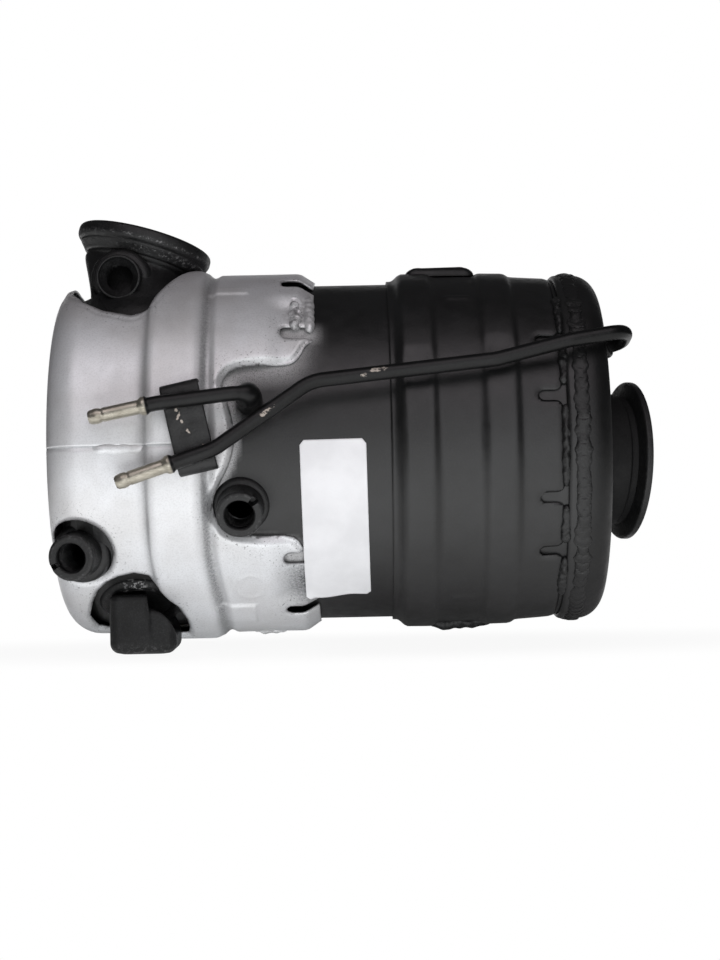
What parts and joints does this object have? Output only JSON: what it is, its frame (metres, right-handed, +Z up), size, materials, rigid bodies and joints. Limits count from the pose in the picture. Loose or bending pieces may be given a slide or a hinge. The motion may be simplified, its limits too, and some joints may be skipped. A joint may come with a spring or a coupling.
{
  "type": "diesel particulate filter",
  "caption": "Round exhaust filter can with an elbow inlet, flanged outlet, silver and black heat shields, sensor bosses and bent pressure pipes.",
  "frame": {"origin": "centre of the outlet flange face", "axes": "+X along the can from the inlet end to the outlet end, +Z up to the side of the inlet elbow, +Y away from the side with the pressure pipes"},
  "size_m": [0.2711, 0.1837, 0.1981],
  "materials": {
    "silver_paint": "satin",
    "black_paint": "satin",
    "dark_casting": "matte",
    "ceramic_brick": "matte",
    "fibre_mat": "matte"
  },
  "bodies": {
    "root": {"inlet_flange": "dark_casting", "inlet_elbow": "dark_casting", "inlet_sensor_boss": "dark_casting", "inlet_dome": "black_paint", "main_can": "black_paint", "catalyst_brick": "ceramic_brick", "catalyst_mat": "fibre_mat", "filter_brick": "ceramic_brick", "filter_mat": "fibre_mat", "end_ring": "black_paint", "end_weld": "black_paint", "outlet_cone": "black_paint", "outlet_neck": "black_paint", "outlet_flange": "dark_casting", "inlet_shield_upper": "silver_paint", "inlet_shield_lower": "silver_paint", "inlet_shield_rear": "silver_paint", "inlet_insulation": "fibre_mat", "filter_shield_front": "black_paint", "filter_shield_rear": "black_paint", "filter_insulation": "fibre_mat", "front_sensor_boss": "dark_casting", "middle_sensor_boss": "dark_casting", "front_pressure_pipe": "black_paint", "rear_pressure_pipe": "black_paint", "front_pipe_ferrule": "black_paint", "rear_pipe_ferrule": "black_paint", "pipe_bracket": "black_paint", "support_lug": "dark_casting"}
  },
  "joints": []
}
